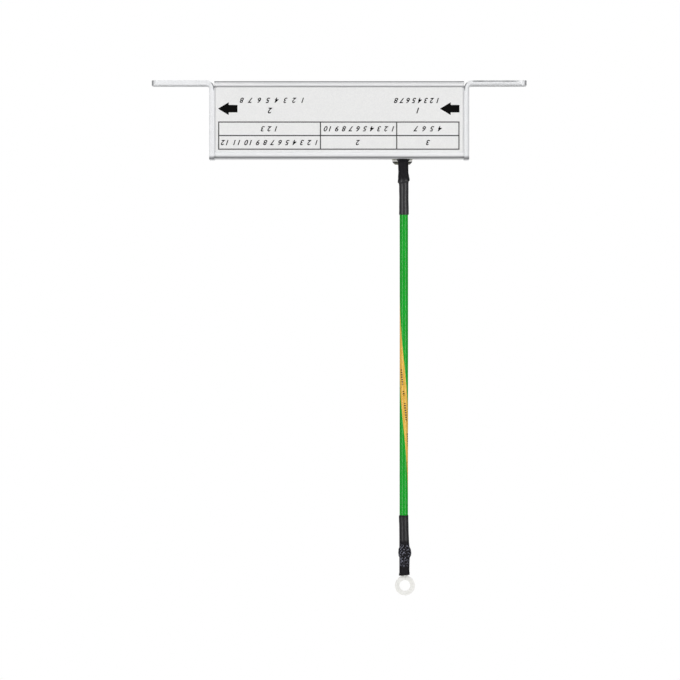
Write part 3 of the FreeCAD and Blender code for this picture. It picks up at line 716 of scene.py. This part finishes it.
UPPER_OUTSIDE = [
    (-31.46, 2.55), (-31.9, 2.52), (-32.4, 2.08), (-34.2, 2.03), (-36.8, 2.03), (-38.6, 2.2),
    (-40.2, 2.42), (-40.55, 2.38), (-40.85, 1.98), (-42.0, 1.9), (-47.0, 1.85), (-52.0, 1.92),
    (-53.3, 1.95), (-53.7, 1.9),
]
UPPER_SWAY = [(-31.6, -0.3), (-34.0, -0.3), (-36.7, -0.18), (-39.9, -0.06), (-43.0, -0.02),
              (-53.7, 0.04)]
UPPER_TILT = [(-36.0, 0.0), (-40.0, 0.42), (-42.5, 0.35), (-46.0, 0.0)]
LOWER_OUTSIDE = [
    (-174.1, 1.86), (-174.5, 1.9), (-179.6, 1.9), (-184.4, 1.92), (-186.4, 2.0),
    (-187.9, 2.5), (-189.2, 2.62), (-190.2, 2.5), (-191.1, 2.06), (-193.0, 1.95),
    (-195.4, 1.88), (-196.6, 1.92), (-197.3, 2.15), (-198.1, 2.16),
]
LOWER_SWAY = [(-174.1, -0.08), (-179.6, 0.04), (-184.4, 0.16), (-189.3, 0.4), (-191.4, 0.32),
              (-196.0, 0.36), (-198.1, 0.16)]
LOWER_TILT = [(-196.0, 0.0), (-197.3, 0.15)]
# The upper sleeve has no knurl: its place is given far off the object.
NO_KNURL = (1000, 1000)
upper_finish = shrunk_sleeve("upper_sleeve_black", *NO_KNURL, -39.8, -53.3, 0.65)
lower_finish = shrunk_sleeve("lower_sleeve_black", -185, -195, -174.6, -184, 0.42)
upper = make_sleeve("upper_sleeve", UPPER_OUTSIDE, UPPER_SWAY, UPPER_TILT, upper_finish)
lower = make_sleeve("lower_sleeve", LOWER_OUTSIDE, LOWER_SWAY, LOWER_TILT, lower_finish)
dress(lead, lead_insulation(), ("ground_wire",))


# Print on the label, its measures in mm. It is upside down, as on the real one, and holds no
# words.

INK_THICK = 0.02 * MM
STAND_UP = Matrix.Rotation(math.radians(90), 4, "X")
UPSIDE_DOWN = Matrix.Rotation(math.radians(180), 4, "Y")


def printed(name, shape, ink):
    """Raise a flat shape drawn in X and Z to a film of ink on the label's face."""
    raised = bmesh.ops.extrude_face_region(shape, geom=list(shape.faces))
    tops = [item for item in raised["geom"] if isinstance(item, bmesh.types.BMVert)]
    bmesh.ops.translate(shape, verts=tops, vec=FRONT * INK_THICK)
    bmesh.ops.recalc_face_normals(shape, faces=shape.faces)
    dress(modelled(name, shape), ink)


def bar(shape, x0, x1, z0, z1):
    """One flat oblong on the label."""
    middle = Vector(((x0 + x1) / 2 * MM, LABEL_FACE, (z0 + z1) / 2 * MM))
    size = Matrix.Diagonal((abs(x1 - x0) * MM, abs(z1 - z0) * MM, 1, 1))
    bmesh.ops.create_grid(shape, x_segments=1, y_segments=1, size=0.5,
                          matrix=Matrix.Translation(middle) @ STAND_UP @ size)


TABLE_COLUMNS = (-48.2, -7.5, 23.0, 47.9)
TABLE_ROWS = (-16.7, -22.1, -27.55)
HALF_LINE = 0.45 / 2


def make_table():
    shape = bmesh.new()
    for level in TABLE_ROWS:
        bar(shape, TABLE_COLUMNS[0] - HALF_LINE, TABLE_COLUMNS[-1] + HALF_LINE,
            level - HALF_LINE, level + HALF_LINE)
    for column in TABLE_COLUMNS:
        for high, low in zip(TABLE_ROWS, TABLE_ROWS[1:]):
            bar(shape, column - HALF_LINE, column + HALF_LINE, low + HALF_LINE, high - HALF_LINE)
    printed("table_lines", shape, line_ink)


ARROW = ((0, 0), (4.3, 2.55), (4.3, 1.5), (7.8, 1.5), (7.8, -1.5), (4.3, -1.5), (4.3, -2.55))
ARROW_LEVEL = -11.35


def make_arrow(name, tip_x):
    shape = bmesh.new()
    points = [shape.verts.new(((tip_x + x) * MM, LABEL_FACE, (ARROW_LEVEL + z) * MM))
              for x, z in ARROW]
    shape.faces.new(points)
    printed(name, shape, black_ink)


DIGIT_WEIGHT = 0.03
DIGIT_SLANT = 0.32
DIGIT_PART = 0.7


def flat_text(words, height, spread):
    """A flat shape of the words at that digit height, which is DIGIT_PART of the font's size."""
    data = bpy.data.curves.new("digits", "FONT")
    data.body = words
    data.size = height * MM / DIGIT_PART
    data.offset = DIGIT_WEIGHT * height * MM
    data.shear = DIGIT_SLANT
    data.space_character = spread
    text = linked("digits", data)
    bpy.context.view_layer.update()
    flat = bpy.data.meshes.new_from_object(text)
    bpy.data.objects.remove(text)
    shape = bmesh.new()
    shape.from_mesh(flat)
    bpy.data.meshes.remove(flat)
    return shape


def text_width(words, height, spread):
    shape = flat_text(words, height, spread)
    places = [point.co.x for point in shape.verts]
    shape.free()
    return (max(places) - min(places)) / MM


def make_digits(name, words, left, right, middle, height):
    """Plain numbers turned upside down, spaced to fill the width between left and right."""
    spread = 1.0
    if " " in words:
        near, wide = [text_width(words, height, trial) for trial in (1.0, 2.0)]
        spread = 1.0 + (right - left - near) / (wide - near)
    shape = flat_text(words, height, spread)
    low, high = [Vector([limit(point.co[i] for point in shape.verts) for i in range(3)])
                 for limit in (min, max)]
    bmesh.ops.translate(shape, verts=shape.verts, vec=-(low + high) / 2)
    bmesh.ops.transform(shape, verts=shape.verts, matrix=UPSIDE_DOWN @ STAND_UP)
    bmesh.ops.translate(shape, verts=shape.verts,
                        vec=((left + right) / 2 * MM, LABEL_FACE, middle * MM))
    printed(name, shape, black_ink)


def count(first, last):
    return " ".join(str(number) for number in range(first, last + 1))


# Each line of digits: its text, its left, right and middle, and the digits' height, in mm.
DIGITS = {
    "digits_out_line": (count(1, 8), -39.8, -14.1, -8.0, 2.0),
    "digit_out": ("2", -30.0, -25.2, -12.1, 2.2),
    "digits_in_line": (count(1, 8), 21.9, 39.9, -8.1, 2.0),
    "digit_in": ("1", 30.2, 32.6, -12.1, 2.2),
    "digits_row_1": (count(1, 3), -31.4, -24.8, -19.4, 2.0),
    "digits_row_2": (count(1, 10), -6.2, 22.0, -19.4, 2.0),
    "digits_row_3": (count(4, 7), 29.6, 41.1, -19.4, 2.0),
    "digits_head_1": (count(1, 12), -47.3, -8.6, -24.9, 2.0),
    "digits_head_2": ("2", 6.2, 8.8, -24.9, 2.0),
    "digits_head_3": ("3", 34.2, 36.8, -24.9, 2.0),
}

make_table()
make_arrow("arrow_out", -48.5)
make_arrow("arrow_in", 40.3)
for name, line in DIGITS.items():
    make_digits(name, *line)


# Floor, lamps and the white room.

FLOOR_LEVEL = -0.28
FLOOR_RADIUS = 1.2
FLOOR_FADE = 0.5
FLOOR_SIDES = 96
FLOOR_GREY = (0.8, 0.8, 0.8, 1)


def make_floor():
    """A pale disc that fades out at its rim and can't be seen from below."""
    shape = bmesh.new()
    bmesh.ops.create_circle(shape, cap_ends=True, radius=FLOOR_RADIUS, segments=FLOOR_SIDES,
                            matrix=Matrix.Translation((0, 0, FLOOR_LEVEL)))
    floor = modelled("floor", shape)
    matt = Finish("pale_floor", FLOOR_GREY, roughness=0.9, Specular_IOR_Level=0.1)
    x, y = matt.axes("XY")
    rim = ((x * x + y * y) ** 0.5).between(FLOOR_FADE, FLOOR_RADIUS)
    under = matt.node("ShaderNodeNewGeometry", {}, {}, "Backfacing")
    matt.set("Alpha", (1 - rim) * (1 - under))
    floor.data.materials.append(matt.material)


# The room's levels, and the soft steps between them over how far a direction points up or to
# the rear, from -1 to 1.
SKY_LIGHT = 0.3
GROUND_LIGHT = 0.02
SKY_RISES = (-1.0, 1.0)
REAR_LIGHT = 0.6
REAR_STARTS = (0.0, 0.8)
REAR_RISES = (-0.5, 0.3)
FRONT_GLOSS = 0.75
REAR_GLOSS = 0.03
GLOSS_FALLS = (-0.1, 0.5)
LOW_GLOSS = 0.08
GLOSS_RISES = (-0.8, -0.1)
WINDOW_GLOSS = 0.8
WINDOW_SIDES = (0.8, 0.95)
WINDOW_SILL = (-0.35, -0.1)
WINDOW_TOP = (0.15, 0.4)


def make_room():
    """A white backdrop, soft light that comes more from above and from behind, and glosses that
    darken towards the rear and the floor, apart from one pale window straight behind."""
    world = bpy.data.worlds.new("white_room")
    bpy.context.scene.world = world
    world.use_nodes = True
    room = Graph(world.node_tree)
    backdrop = world.node_tree.nodes["Background"]
    backdrop.inputs["Color"].default_value = (1, 1, 1, 1)
    way = room.node("ShaderNodeTexCoord", {}, {}, "Generated")
    rear, up = room.parts(way, "YZ")
    seen, through, gloss = [room.node("ShaderNodeLightPath", {}, {}, kind) for kind in
                            ("Is Camera Ray", "Is Transmission Ray", "Is Glossy Ray")]
    direct = seen.or_else(through)
    soft = GROUND_LIGHT + up.between(*SKY_RISES) * (SKY_LIGHT - GROUND_LIGHT)
    soft = soft + rear.between(*REAR_STARTS) * up.between(*REAR_RISES) * REAR_LIGHT
    shine = FRONT_GLOSS - rear.between(*GLOSS_FALLS) * (FRONT_GLOSS - REAR_GLOSS)
    shine = shine * (LOW_GLOSS + up.between(*GLOSS_RISES) * (1 - LOW_GLOSS))
    window = up.between(*WINDOW_SILL) * (1 - up.between(*WINDOW_TOP))
    shine = shine + rear.between(*WINDOW_SIDES) * window * WINDOW_GLOSS
    plain = (1 - gloss) * soft + gloss * shine
    room.feed(backdrop.inputs["Strength"], direct + (1 - direct) * plain)


LAMPS_FACE = Vector((0, 0, -0.08))


def make_lamp(name, azimuth, elevation, distance, width, height, watts):
    """A soft box that faces the object. Azimuth 0 is straight in front. Sizes are in metres."""
    data = bpy.data.lights.new(name, "AREA")
    data.shape = "RECTANGLE"
    data.size = width
    data.size_y = height
    data.energy = watts
    lamp = linked(name, data)
    turn = math.radians(azimuth)
    rise = math.radians(elevation)
    way = Vector((math.sin(turn) * math.cos(rise), -math.cos(turn) * math.cos(rise),
                  math.sin(rise)))
    lamp.location = LAMPS_FACE + way * distance
    lamp.rotation_euler = (-way).to_track_quat("-Z", "Y").to_euler()


make_floor()
make_room()
make_lamp("left_softbox", -42, 8, 1.2, 0.42, 1.0, 6.5)
make_lamp("right_softbox", 42, 8, 1.2, 0.42, 1.0, 6.5)
make_lamp("top_softbox", 0, 30, 1.4, 1.0, 0.5, 0.8)
make_lamp("back_softbox", 180, 40, 1.6, 1.2, 0.8, 5)

bpy.context.scene.view_settings.view_transform = "Standard"
